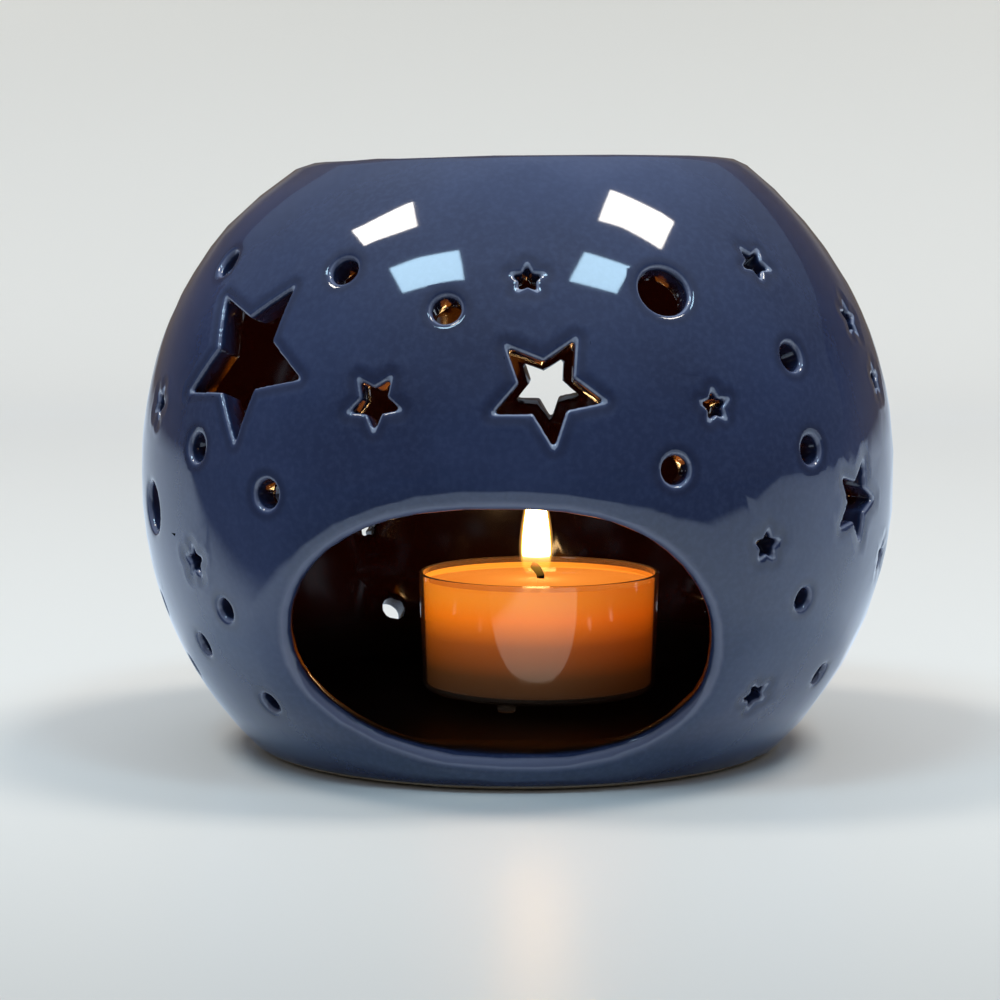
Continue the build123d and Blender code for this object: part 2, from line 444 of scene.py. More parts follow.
elevation = elevation_of(outward)
azimuth = np.arctan2(outward[:, 0], -outward[:, 1])
shift -= slack(outward)
for turns, rise, phase in WAVES:
    shift += WAVE_HEIGHT * np.sin(turns * azimuth + phase) * np.sin(rise * elevation + phase)
shaped = points + outward * shift[:, None]
height_share = np.clip((points[:, 2] - TOP_BEGINS) / (top_height + centre[2] - TOP_BEGINS), 0, 1)
height_share = height_share**2 * (3 - 2 * height_share)
shaped[:, 0] += SHOULDER_LEAN * height_share
shaped[:, 2] -= TOP_DROP * height_share * np.clip((TOP_DROP_FROM - points[:, 0]) / TOP_DROP_REACH, 0, 1)
foot_hold = np.clip(points[:, 2] / FOOT_HOLD, 0, 1)[:, None]
shaped = points + (shaped - points) * foot_hold
shaped[:, 2] = np.clip(shaped[:, 2], 0, cad_high.z / MM)
set_mesh_points(burner, shaped)
add_modifier(burner, "SMOOTH", factor=0.5, iterations=SETTLE_ROUNDS)

# %% [markdown]
# Away from the cut-outs the glaze lies as even as the clay lets it, so those points get more rounds of
# smoothing. That takes the last facets off the rolled oval mouth and the foot.

# %% Smooth the open surface
CALM_FROM = 2.6
CALM_FULL = 4.0
CALM_ROUNDS = 60
GROUP_STEPS = 8


def group_by_distance(obj, distance, start, full):
    """A vertex group that grows from none at one distance to all at another, in a few steps."""
    group = obj.vertex_groups.new(name="by_distance")
    steps = np.round(np.clip((distance - start) / (full - start), 0, 1) * GROUP_STEPS).astype(int)
    for step in range(1, GROUP_STEPS + 1):
        group.add(np.flatnonzero(steps == step).tolist(), step / GROUP_STEPS, "REPLACE")
    return group.name


calm = group_by_distance(burner, from_rims, CALM_FROM, CALM_FULL)
add_modifier(burner, "SMOOTH", factor=0.5, iterations=CALM_ROUNDS, vertex_group=calm)
burner.vertex_groups.clear()

# %% [markdown]
# ### Fewer faces, the same surface
#
# The dipped form has millions of faces, far more than a smooth ball needs. A second remesh merges them
# where the surface bends least, and a decimation takes the rest, but leaves the rims of the stars and
# holes alone. The exact normals of the fine form are copied onto it, so that the reflections stay clean.

# %% Lighten the mesh
PIECE_LIMIT = 192000
MERGING = 0.03
KEEP_FROM = 2.6
KEEP_TO = 4.2


def from_cut_rims(obj):
    """How far each point is from the nearest cut rim, and its depth, as if the wall were true."""
    points = mesh_points(obj)
    away = points - centre
    reach = np.linalg.norm(away, axis=1)
    outward = away / reach[:, None]
    inset = slack(outward)
    distance, _ = nearest(outer_tree, points + outward * inset[:, None])
    return distance, np.maximum(GLOBE_RADIUS - reach - inset, 0)


only(burner)
bpy.ops.object.shade_smooth()
fine_form = burner
burner = fine_form.copy()
burner.data = fine_form.data.copy()
bpy.context.scene.collection.objects.link(burner)
add_modifier(burner, "REMESH", mode="VOXEL", voxel_size=VOXEL * MM, adaptivity=MERGING)
add_modifier(burner, "TRIANGULATE")
distance, depth = from_cut_rims(burner)
spare = group_by_distance(burner, distance + depth, KEEP_FROM, KEEP_TO)
share = min(1.0, PIECE_LIMIT / len(burner.data.polygons))
add_modifier(burner, "DECIMATE", ratio=share, vertex_group=spare, vertex_group_factor=1.0)
add_modifier(burner, "SHRINKWRAP", target=fine_form, wrap_method="NEAREST_SURFACEPOINT")
burner.vertex_groups.clear()
only(burner)
bpy.ops.object.shade_smooth()
add_modifier(burner, "DATA_TRANSFER", object=fine_form, use_loop_data=True,
             data_types_loops={"CUSTOM_NORMAL"}, loop_mapping="POLYINTERP_NEAREST")
bpy.data.objects.remove(fine_form)

# %% [markdown]
# ### Where the glaze runs thin
#
# Molten glaze pulls away from a cut edge, leaves it pale, and lies thick and dark a millimetre behind it.
# The material paints that pale rim together with a painted reflection, and the dark line together with
# painted shade.
# Each point is told how far it is from the nearest cut rim, and the material reads that.

# %% Write the distance from the rims
FAR_FROM_RIMS = 4.0

distance, _ = from_cut_rims(burner)
rim_distance = burner.data.attributes.new("rim_distance", "FLOAT", "POINT")
rim_distance.data.foreach_set("value", np.clip(distance, 0, FAR_FROM_RIMS).astype(np.float32))
print("nearest point to a rim:", round(distance.min(), 2), "mm")

# %% [markdown]
# ## Glaze
#
# Stoneware glaze is a thick glass coloured by cobalt and a little iron, with a refractive index of
# about 1.55. Where it lies thick it is a deep indigo. Over a rounded edge it runs thin, and the clay
# greys it; the pale lavender painted there is partly that and partly a painted reflection of the pale
# table and the lamps. The edge is found by how far the surface turns away from the ball, and at the cut
# rims by the distance that was written above, with a dark line behind that is partly thick glaze and
# partly painted shade. The colour drifts a little over a few centimetres, as the dip leaves it, and has
# a fine mottle. Inside, a dark brown is painted for the flame's orange light on the blue glaze, and
# painted shade darkens it and dulls its gloss towards the floor. The foot is bare clay, because glaze
# would stick to the kiln shelf.

# %% Find edges and the inside in a material
DRIFT_SIZE = 28.0
MOTTLE_SIZE = 0.9
RIPPLE_SIZE = 14.0
BARE_FOOT_HEIGHT = 0.9
CHAMBER_MIDDLE = 40.0
CHAMBER_SHADE_FROM = 9.0
CHAMBER_SHADE_TO = 18.0


def facing(tree, coordinates, middle_height):
    """The cosine between the surface's own direction and the direction away from a middle."""
    away = add_node(tree, "VectorMath", {"operation": "SUBTRACT"}, {
        0: coordinates.outputs["Object"], 1: (0, 0, middle_height * MM)})
    outward = add_node(tree, "VectorMath", {"operation": "NORMALIZE"}, {0: away.outputs[0]})
    return add_node(tree, "VectorMath", {"operation": "DOT_PRODUCT"}, {
        0: outward.outputs[0], 1: coordinates.outputs["Normal"]}).outputs["Value"]


def step_between(tree, value, low, high, at_low=0.0, at_high=1.0):
    """A soft step as a value goes from low to high."""
    return add_node(tree, "MapRange", {"interpolation_type": "SMOOTHSTEP"}, {
        "Value": value, "From Min": low, "From Max": high, "To Min": at_low, "To Max": at_high}).outputs[0]


def calculate(tree, operation, *values):
    """A Math node on two or three values."""
    return add_node(tree, "Math", {"operation": operation}, dict(enumerate(values))).outputs[0]


def multiply(tree, first, second):
    return calculate(tree, "MULTIPLY", first, second)


def mix_colours(tree, share, first, second):
    return add_node(tree, "Mix", {"data_type": "RGBA"}, {0: share, 6: first, 7: second}).outputs[2]


# %% [markdown]
# ### The layers of the glaze
#
# The material is built up in layers: the body colour with its mottle, the dark line behind each rim
# (partly thick glaze, partly painted shade), the pale edges (partly thin glaze, partly a painted
# reflection), the chamber's dark brown painted for the flame's orange light, the bare foot, and last
# painted shade on the chamber's floor: a matt near-black mixed over the glaze, with more roughness, so
# that it hides the gloss there and not only the colour.

# %% Make the glaze
glaze, tree, output = new_material("stoneware_glaze_indigo")
coordinates = add_node(tree, "TexCoord")
place = add_node(tree, "SeparateXYZ", inputs={"Vector": coordinates.outputs["Object"]})
drift = add_node(tree, "TexNoise", inputs={
    "Vector": coordinates.outputs["Object"], "Scale": 1 / (DRIFT_SIZE * MM), "Detail": 3.0})
body_colour = add_node(tree, "ValToRGB", inputs={"Fac": drift.outputs["Fac"]})
set_ramp(body_colour, [(0.3, linear("#212b48")), (0.55, linear("#283454")), (0.75, linear("#323e60"))])
mottle = add_node(tree, "TexNoise", inputs={
    "Vector": coordinates.outputs["Object"], "Scale": 1 / (MOTTLE_SIZE * MM), "Detail": 2.0})
mottled = mix_colours(
    tree, step_between(tree, mottle.outputs["Fac"], 0.35, 0.75, 0.0, 0.2),
    body_colour.outputs["Color"], linear("#424f70"))

turn = facing(tree, coordinates, GLOBE_CENTRE.z / MM)
over_edge = multiply(
    tree, step_between(tree, turn, 0.1, 0.4), step_between(tree, turn, 0.72, 0.93, 1.0, 0.0))
rim_reach = add_node(tree, "Attribute", {"attribute_name": "rim_distance"}).outputs["Fac"]
# A dark line 1 to 2 mm behind each rim: partly thick glaze, partly painted shade.
pooled_and_painted_shade = multiply(
    tree, step_between(tree, rim_reach, 0.5, 1.0), step_between(tree, rim_reach, 1.2, 2.3, 1.0, 0.0))
thick_glaze_and_painted_shade = mix_colours(tree, multiply(tree, pooled_and_painted_shade, 0.5), mottled, linear("#192038"))
# Over rounded edges and the rolled mouth: pale lavender, partly thin glaze, partly a painted reflection of
# the pale table.
thin_glaze_and_painted_reflection = mix_colours(tree, multiply(tree, over_edge, 0.5), thick_glaze_and_painted_shade, linear("#7a809a"))
# A pale line right at each cut rim: partly thin glaze, partly a painted reflection of the lamps and the
# table.
pale_rim_and_painted_reflection = step_between(tree, rim_reach, 0.3, 0.52, 0.85, 0.0)
outer_glaze = mix_colours(tree, pale_rim_and_painted_reflection, thin_glaze_and_painted_reflection, linear("#8c95aa"))
inside = step_between(tree, facing(tree, coordinates, CHAMBER_MIDDLE), -0.35, 0.05, 1.0, 0.0)
# Painted light and shade: a dark brown for the flame's orange light on the blue glaze, darker towards the
# floor.
painted_chamber_light_and_shade = mix_colours(
    tree, step_between(tree, place.outputs["Z"], CHAMBER_SHADE_FROM * MM, CHAMBER_SHADE_TO * MM),
    linear("#060201"), linear("#33100b"))
glazed = mix_colours(tree, inside, outer_glaze, painted_chamber_light_and_shade)
bare = step_between(
    tree, place.outputs["Z"], (BARE_FOOT_HEIGHT - 0.25) * MM, (BARE_FOOT_HEIGHT + 0.1) * MM, 1.0, 0.0)
surface_colour = mix_colours(tree, bare, glazed, linear("#b9a78c"))
# Where shade is painted on the chamber's floor, the glaze is also made rougher, so its gloss fades
# downwards.
soot = multiply(
    tree, inside, step_between(tree, place.outputs["Z"], CHAMBER_SHADE_FROM * MM, CHAMBER_SHADE_TO * MM, 0.45, 0.1))
dull = calculate(tree, "MAXIMUM", soot, bare)
roughness = add_node(tree, "MapRange", inputs={"Value": dull, "To Min": 0.05, "To Max": 0.85})
ripple = add_node(tree, "TexNoise", inputs={
    "Vector": coordinates.outputs["Object"], "Scale": 1 / (RIPPLE_SIZE * MM), "Detail": 1.0})
bump = add_node(tree, "Bump", inputs={
    "Height": ripple.outputs["Fac"], "Strength": 0.5, "Distance": 0.03 * MM})
shader = add_node(tree, "BsdfPrincipled", inputs={
    "Base Color": surface_colour, "Roughness": roughness.outputs[0], "IOR": 1.55,
    "Normal": bump.outputs["Normal"]})
# Painted shade: a matt near-black mixed over the glaze on the chamber's floor.
painted_shade_black = add_node(tree, "BsdfDiffuse", inputs={"Color": linear("#0a0301")})
painted_shade_cover = multiply(
    tree, inside, step_between(tree, place.outputs["Z"], CHAMBER_SHADE_FROM * MM, CHAMBER_SHADE_TO * MM, 0.75, 0.0))
glaze_with_painted_shade = add_node(tree, "MixShader", inputs={0: painted_shade_cover, 1: shader.outputs[0], 2: painted_shade_black.outputs[0]})
tree.links.new(glaze_with_painted_shade.outputs[0], output.inputs["Surface"])
burner.data.materials.clear()
burner.data.materials.append(glaze)
settle(burner, "glazed_globe", "burner", replaces=("globe_shell", "oil_dish"))

# %% [markdown]
# ## A lathe
#
# The tealight's parts are all round, so each is made as a turner would: half an outline, turned about
# the upright axis. The outline is one point pushed along from corner to corner, then spun.

# %% Helper: turn an outline
cup_low, cup_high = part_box("tealight_cup")
TEALIGHT_X = (cup_low.x + cup_high.x) / 2 / MM
TURN_STEPS = 96


def turned(outline, steps=TURN_STEPS):
    """Turns a half outline of (distance from the axis, height), from the bottom up or round, in mm."""
    (first_across, first_up), *others = outline
    bpy.ops.object.select_all(action="DESELECT")
    bpy.ops.mesh.primitive_plane_add(size=MM, location=((TEALIGHT_X + first_across) * MM, 0, first_up * MM))
    obj = bpy.context.object
    bpy.ops.object.mode_set(mode="EDIT")
    bpy.ops.mesh.select_all(action="SELECT")
    bpy.ops.mesh.merge(type="CENTER")
    across, up = first_across, first_up
    for next_across, next_up in others:
        move = ((next_across - across) * MM, 0, (next_up - up) * MM)
        bpy.ops.mesh.extrude_vertices_move(TRANSFORM_OT_translate={"value": move})
        across, up = next_across, next_up
    bpy.ops.mesh.select_all(action="SELECT")
    bpy.ops.mesh.spin(steps=steps, angle=math.tau, center=(TEALIGHT_X * MM, 0, 0), axis=(0, 0, 1))
    bpy.ops.mesh.select_all(action="SELECT")
    bpy.ops.mesh.remove_doubles(threshold=JOIN_GAP * MM)
    bpy.ops.mesh.normals_make_consistent(inside=False)
    bpy.ops.object.mode_set(mode="OBJECT")
    return obj


def smooth_by_angle(obj, degrees=35):
    """Smooth shading that keeps corners, and lets large faces stay as flat or round as they are."""
    only(obj)
    bpy.ops.object.shade_smooth_by_angle(angle=math.radians(degrees))
    add_modifier(obj, "WEIGHTED_NORMAL", keep_sharp=True)


# %% [markdown]
# ## Clear tealight cup
#
# The cup is moulded in clear polycarbonate: a thin, slightly tapered wall with a plain rim, a round
# corner at its base, a dimple where the plastic was let in, and three small feet that keep the
# hot base off the floor.

# %% Turn the cup
CUP_WALL = 0.6
CUP_BASE_RADIUS = 18.6
CUP_CORNER = 1.6
FOOT_HEIGHT = 1.2
FOOT_RADIUS = 1.4
FOOT_INSET = 2.2
FOOT_ANGLES = (254, 14, 134)
FOOT_SIDES = 24
FOOT_SINK = 0.2
FOOT_SOFTNESS = 0.3
DIMPLE_RADIUS = 1.6
DIMPLE_EDGE = 2.2
DIMPLE_DEPTH = 0.35
RIM_SOFTNESS = 0.22

cup_rim_radius = (cup_high.x - cup_low.x) / 2 / MM
cup_base = cup_low.z / MM + FOOT_HEIGHT
cup_rim = cup_high.z / MM
cup_taper = (cup_rim_radius - CUP_BASE_RADIUS) / (cup_rim - cup_base)


def cup_radius(height):
    return CUP_BASE_RADIUS + cup_taper * (height - cup_base)


corner = CUP_CORNER / 3
cup = turned([
    (0, cup_base + DIMPLE_DEPTH), (DIMPLE_RADIUS, cup_base + DIMPLE_DEPTH), (DIMPLE_EDGE, cup_base),
    (CUP_BASE_RADIUS - 2 * corner, cup_base), (CUP_BASE_RADIUS - 0.6 * corner, cup_base + 0.6 * corner),
    (cup_radius(cup_base + 2 * corner), cup_base + 2 * corner),
    (cup_rim_radius, cup_rim), (cup_rim_radius - CUP_WALL, cup_rim),
    (CUP_BASE_RADIUS - CUP_WALL, cup_base + CUP_WALL + corner),
    (CUP_BASE_RADIUS - CUP_WALL - corner, cup_base + CUP_WALL), (0, cup_base + CUP_WALL)])
bevel_corners = dict(limit_method="ANGLE", angle_limit=math.radians(30), harden_normals=False)
add_modifier(cup, "BEVEL", width=RIM_SOFTNESS * MM, segments=3, **bevel_corners)
feet = []
for angle in FOOT_ANGLES:
    turn = math.radians(angle)
    reach = CUP_BASE_RADIUS - FOOT_INSET
    bpy.ops.object.select_all(action="DESELECT")
    bpy.ops.mesh.primitive_cylinder_add(
        vertices=FOOT_SIDES, radius=FOOT_RADIUS * MM, depth=(FOOT_HEIGHT + FOOT_SINK) * MM,
        location=((TEALIGHT_X + reach * math.cos(turn)) * MM, reach * math.sin(turn) * MM,
                  (cup_base - FOOT_HEIGHT / 2 + FOOT_SINK / 2) * MM))
    feet.append(bpy.context.object)
    add_modifier(feet[-1], "BEVEL", width=FOOT_SOFTNESS * MM, segments=3, **bevel_corners)
only(cup, *feet)
bpy.ops.object.join()
smooth_by_angle(cup)

# %% [markdown]
# ### Clear polycarbonate
#
# Moulded polycarbonate is glossy, almost without colour, and bends light a little more than glass does,
# with a refractive index of 1.58. A film of wax and a little haze in the plastic catch the flame's
# light, so that the rim glows a dull orange where the wax has sunk. Its mirror image of the pale table
# is tinted warm, because the photograph shows it tan in front of the wax.

# %% Make the plastic
clear_plastic, tree, output = new_material("polycarbonate_moulded_clear")
shader = add_node(tree, "BsdfPrincipled", inputs={
    "Base Color": linear("#f7e8d6"), "Roughness": 0.03, "IOR": 1.58, "Transmission Weight": 0.93,
    "Specular Tint": linear("#ffe6c8")})
tree.links.new(shader.outputs[0], output.inputs["Surface"])
cup.data.materials.append(clear_plastic)
settle(cup, "clear_cup", "tealight", replaces=("tealight_cup",))

# %% [markdown]
# ## Wax and its melted pool
#
# After some time alight the top of the wax is a pool, and what is left is soft and lets light through:
# the flame shines down into it, so it glows orange at the top and fades to a dull cream at the foot.
# The pool lies a little lower than the film of wax that it leaves on the cup, and climbs at the wick.

# %% Turn the wax and the pool
WAX_GAP = 0.1
WAX_DROP = 1.3
WAX_CLIMB = 0.35
POOL_DROP = 0.12
POOL_EDGE = 0.7
POOL_DEPTH = 1.8
WICK_RADIUS = 0.65
WAX_CORNER = 0.8
FILM_WIDTH = 0.25
# How the pool climbs at its edge and at the wick: across from there, and up
EDGE_CLIMB = ((0.0, 0.03), (0.5, 0.01), (1.5, 0.0))
WICK_CLIMB = ((3.0, 0.0), (1.6, 0.06), (1.0, 0.2), (0.0, 0.3))

wax_foot = cup_base + CUP_WALL + WAX_GAP
wax_level = cup_rim - WAX_DROP
pool_level = wax_level - POOL_DROP
wax_side = CUP_WALL + WAX_GAP
pool_radius = cup_radius(wax_level) - wax_side - POOL_EDGE
wax = turned([
    (0, wax_foot), (cup_radius(wax_foot) - wax_side - WAX_CORNER, wax_foot),
    (cup_radius(wax_foot) - wax_side, wax_foot + WAX_CORNER),
    (cup_radius(wax_level) - wax_side, wax_level + WAX_CLIMB),
    (cup_radius(wax_level) - wax_side - FILM_WIDTH, wax_level),
    (pool_radius, pool_level + EDGE_CLIMB[0][1]), (pool_radius, pool_level - POOL_DEPTH),
    (0, pool_level - POOL_DEPTH)])
smooth_by_angle(wax)
pool_reach = pool_radius - WAX_GAP
pool_foot = pool_level - POOL_DEPTH + 0.05
pool = turned([
    (0, pool_foot), (pool_reach, pool_foot),
    *[(pool_reach - across, pool_level + up) for across, up in EDGE_CLIMB],
    *[(across, pool_level + up) for across, up in WICK_CLIMB]])
smooth_by_angle(pool, 50)

# %% [markdown]
# ### Lit from within
#
# The light that the flame sends into the wax is scattered, and red light gets furthest. Tracing that
# would take many samples, so the glow is given as a faint light of its own that follows the height in
# the wax, over a surface that still scatters. The paler tongue at the front is no colour of the wax: it
# is the mouth and the table, mirrored in the cup. Lengths in the ramp are shares of the wax's height.

# %% Make the wax
def grey(value):
    return (value, value, value, 1.0)


def glow_by_height(tree, coordinates, stops, low, high):
    """The colour of a ramp that runs from one height to another, in mm."""
    height = add_node(tree, "SeparateXYZ", inputs={"Vector": coordinates})
    share = add_node(tree, "MapRange", inputs={
        "Value": height.outputs["Z"], "From Min": low * MM, "From Max": high * MM})
    ramp = add_node(tree, "ValToRGB", inputs={"Fac": share.outputs[0]})
    set_ramp(ramp, stops)
    return ramp.outputs["Color"]


warm_wax, tree, output = new_material("candle_wax_lit_from_within")
coordinates = add_node(tree, "TexCoord").outputs["Object"]
glow = glow_by_height(tree, coordinates, [
    (0.0, linear("#2e1d0d")), (0.2, linear("#45280e")), (0.5, linear("#944a0e")),
    (0.75, linear("#fc840e")), (0.93, linear("#ff9826")), (1.0, linear("#ff9426"))], wax_foot, wax_level)
place = add_node(tree, "SeparateXYZ", inputs={"Vector": coordinates})
# Painted shade: the glow on the right side of the wax is made darker and redder.
painted_shade_right_side = step_between(tree, place.outputs["X"], 2 * MM, 20 * MM, 0.0, 0.85)
wax_glow = mix_colours(
    tree, painted_shade_right_side, glow, add_node(tree, "Mix", {"data_type": "RGBA", "blend_type": "MULTIPLY"}, {
        0: 1.0, 6: glow, 7: (0.62, 0.4, 0.2, 1.0)}).outputs[2])
shader = add_node(tree, "BsdfPrincipled", inputs={
    "Base Color": linear("#7a5636"), "Roughness": 0.4, "IOR": 1.44,
    "Emission Color": wax_glow, "Emission Strength": 1.12})
tree.links.new(shader.outputs[0], output.inputs["Surface"])
wax.data.materials.append(warm_wax)
settle(wax, "soft_wax", "tealight", replaces=("tealight_wax",))

# %% [markdown]
# ### The melted pool
#
# Melted wax is clear and as glossy as water. What shows through it is the glow of the wax beneath,
# brightest close to the wick, so its own faint light follows the distance from the tealight's axis.

# %% Make the melted wax
melted_wax, tree, output = new_material("candle_wax_melted")
coordinates = add_node(tree, "TexCoord").outputs["Object"]
centred = add_node(tree, "Mapping", inputs={
    "Vector": coordinates, "Location": (-TEALIGHT_X * MM, 0, -pool_level * MM)})
reach = add_node(tree, "VectorMath", {"operation": "LENGTH"}, {0: centred.outputs[0]})
share = add_node(tree, "MapRange", inputs={
    "Value": reach.outputs["Value"], "From Min": 0.0, "From Max": pool_radius * MM})
pool_glow = add_node(tree, "ValToRGB", inputs={"Fac": share.outputs[0]})
set_ramp(pool_glow, [(0.0, linear("#ffb45c")), (0.25, linear("#fa963c")), (0.7, linear("#f4882e")),
                     (1.0, linear("#f08228"))])
shader = add_node(tree, "BsdfPrincipled", inputs={
    "Base Color": linear("#7a4a22"), "Roughness": 0.04, "IOR": 1.44,
    "Emission Color": pool_glow.outputs["Color"], "Emission Strength": 0.9})
tree.links.new(shader.outputs[0], output.inputs["Surface"])
pool.data.materials.append(melted_wax)
settle(pool, "melted_pool", "tealight", replaces=("wax_pool",))

# %% [markdown]
# ## Wick
#
# The wick is braided cotton that curls over as it burns, so that its tip stays in the hottest part of
# the flame. Its end is charred black and crumbly, and glows where it is thinnest.

# %% Spin the wick
WICK_SIDES = 14
WICK_RINGS = 24
WICK_ASIDE = 0.3
CURL_RADIUS = 2.7
CURL_ANGLE = 65.0
CURL_STEPS = 10
TIP_SHARE = 0.55

wick_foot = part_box("wick")[0].z / MM
bpy.ops.object.select_all(action="DESELECT")
bpy.ops.mesh.primitive_circle_add(
    vertices=WICK_SIDES, radius=WICK_RADIUS * MM, fill_type="NGON",
    location=((TEALIGHT_X + WICK_ASIDE) * MM, 0, wick_foot * MM))
wick = bpy.context.object
bpy.ops.object.mode_set(mode="EDIT")
bpy.ops.mesh.select_all(action="SELECT")
stem = pool_level - wick_foot
for ring in range(WICK_RINGS):
    bpy.ops.mesh.extrude_region_move(TRANSFORM_OT_translate={"value": (0, 0, stem / WICK_RINGS * MM)})
bpy.ops.mesh.spin(
    steps=CURL_STEPS, angle=math.radians(CURL_ANGLE), axis=(0, 1, 0),
    center=((TEALIGHT_X + WICK_ASIDE - CURL_RADIUS) * MM, 0, (wick_foot + stem) * MM))
bpy.ops.transform.resize(value=(TIP_SHARE, TIP_SHARE, TIP_SHARE))
bpy.ops.mesh.select_all(action="SELECT")
bpy.ops.mesh.remove_doubles(threshold=JOIN_GAP * MM)
bpy.ops.mesh.normals_make_consistent(inside=False)
bpy.ops.object.mode_set(mode="OBJECT")
add_modifier(wick, "SUBSURF", levels=2, render_levels=2)
crumble = bpy.data.textures.new("wick_crumble", "CLOUDS")
crumble.noise_scale = 0.5 * MM
add_modifier(wick, "DISPLACE", texture=crumble, texture_coords="LOCAL", strength=0.22 * MM, mid_level=0.5)
only(wick)
bpy.ops.object.shade_smooth()

# %% [markdown]
# ### Charred cotton
#
# The braid burns to a matt black char that gives back almost no light. Its diagonal strands still show
# as a fine relief, and the curled tip, which is in the hottest part of the flame, glows a dull red.

# %% Make the charred cotton
STRAND = 0.35
charred_cotton, tree, output = new_material("cotton_wick_charred")
coordinates = add_node(tree, "TexCoord").outputs["Object"]
braid = add_node(tree, "TexWave", {"bands_direction": "DIAGONAL"}, {
    "Vector": coordinates, "Scale": 1 / (STRAND * MM * math.tau), "Distortion": 2.0})
cotton = add_node(tree, "ValToRGB", inputs={"Fac": braid.outputs["Fac"]})
set_ramp(cotton, [(0.2, linear("#010101")), (0.8, linear("#060403"))])
bump = add_node(tree, "Bump", inputs={
    "Height": braid.outputs["Fac"], "Strength": 0.6, "Distance": 0.05 * MM})
ember = glow_by_height(tree, coordinates, [
    (0.0, linear("#000000")), (0.75, linear("#000000")), (1.0, linear("#ff5a10"))],
    pool_level, pool_level + CURL_RADIUS)
shader = add_node(tree, "BsdfPrincipled", inputs={
    "Base Color": cotton.outputs["Color"], "Roughness": 0.95, "Specular IOR Level": 0.1,
    "Normal": bump.outputs["Normal"], "Emission Color": ember, "Emission Strength": 0.8})
tree.links.new(shader.outputs[0], output.inputs["Surface"])
wick.data.materials.append(charred_cotton)
settle(wick, "charred_wick", "tealight", replaces=("wick",))

# %% [markdown]
# ## Sustainer
#
# The thin tinned disc that holds the wick upright is inside the wax, where its CAD shape is already
# right. It only needs its metal: tinned steel, with the fine rings that a press tool leaves.

# %% Make the tinned steel
RING_STEP = 0.25
tinned_steel, tree, output = new_material("tinned_steel_pressed")
coordinates = add_node(tree, "TexCoord").outputs["Object"]
centred = add_node(tree, "Mapping", inputs={"Vector": coordinates, "Location": (-TEALIGHT_X * MM, 0, 0)})
rings = add_node(tree, "TexWave", {"wave_type": "RINGS", "rings_direction": "Z"}, {
    "Vector": centred.outputs[0], "Scale": 1 / (RING_STEP * MM * math.tau), "Distortion": 0.3})
bump = add_node(tree, "Bump", inputs={
    "Height": rings.outputs["Fac"], "Strength": 0.3, "Distance": 0.02 * MM})
shader = add_node(tree, "BsdfPrincipled", inputs={
    "Base Color": linear("#c9c8c4"), "Metallic": 1.0, "Roughness": 0.32, "Normal": bump.outputs["Normal"]})
tree.links.new(shader.outputs[0], output.inputs["Surface"])
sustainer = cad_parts["wick_sustainer"]
sustainer.data.materials.clear()
sustainer.data.materials.append(tinned_steel)

# %% [markdown]
# ## Flame
#
# A candle flame is a hollow teardrop of glowing soot: so bright in the middle that it looks white,
# amber at its skin, and clear low down round the wick. Nested shells, each wider and fainter than the
# one inside it, give the soft edge. Their colour is the true orange of soot at 1900 K, so the light that
# they cast on the wax, the chamber and the table is orange too.

# %% Turn the shells of the flame
FLAME_X = -0.45
FLAME_FOOT = 0.35
FLAME_HEIGHT = 21.9
FLAME_HALF_WIDTH = 2.6
FLAME_OUTLINE_SHARES = (
    (0.0, 0.0), (0.55, 0.02), (0.8, 0.06), (0.95, 0.12), (1.0, 0.19), (0.97, 0.28), (0.86, 0.4),
    (0.69, 0.52), (0.47, 0.67), (0.26, 0.81), (0.11, 0.93), (0.0, 1.0))
FLAME_STEPS = 32
SOOT_ORANGE = (1.0, 0.46, 0.13, 1.0)
SOOT_YELLOW = (1.0, 0.6, 0.25, 1.0)
SOOT_AMBER = (1.0, 0.5, 0.04, 1.0)


def flame_shell(width_share):
    """A teardrop whose width is a share of the flame's."""
    foot = pool_level + FLAME_FOOT
    shell = turned([(across * FLAME_HALF_WIDTH * width_share, foot + up * FLAME_HEIGHT)
                    for across, up in FLAME_OUTLINE_SHARES], steps=FLAME_STEPS)
    in_edit_mode(shell, lambda: bpy.ops.transform.translate(value=(FLAME_X * MM, 0, 0)))
    add_modifier(shell, "SUBSURF", levels=2, render_levels=2)
    only(shell)
    bpy.ops.object.shade_smooth()
    return shell


def flame_material(name, colour, covers, strength):
    """Glowing soot, as dense as its height in the flame asks."""
    material, tree, output = new_material(name)
    coordinates = add_node(tree, "TexCoord").outputs["Object"]
    foot = pool_level + FLAME_FOOT
    stops = [(height, grey(cover)) for height, cover in covers]
    cover = glow_by_height(tree, coordinates, stops, foot, foot + FLAME_HEIGHT)
    light = add_node(tree, "Emission", inputs={"Color": colour, "Strength": strength})
    clear = add_node(tree, "BsdfTransparent")
    mix = add_node(tree, "MixShader", inputs={0: cover, 1: clear.outputs[0], 2: light.outputs[0]})
    tree.links.new(mix.outputs[0], output.inputs["Surface"])
    return material


# Each shell: its share of the flame's width, its colour, how dense it is at shares of the flame's
# height, and its strength
FLAME_SHELLS = {
    "flame_core": (0.88, SOOT_YELLOW, [
        (0.03, 0.0), (0.09, 0.001), (0.125, 0.004), (0.155, 0.02), (0.19, 1.0)], 38.0),
    "flame_mantle": (0.98, SOOT_AMBER, [(0.0, 0.0), (0.06, 0.1), (0.14, 0.2), (0.25, 0.4)], 2.0),
    "flame_skin": (1.08, SOOT_ORANGE, [(0.0, 0.02), (0.12, 0.04), (0.35, 0.16)], 1.2),
}
for name, (width, colour, covers, strength) in FLAME_SHELLS.items():
    shell = flame_shell(width)
    shell.data.materials.append(flame_material(name + "_glowing_soot", colour, covers, strength))
    settle(shell, name, "tealight")

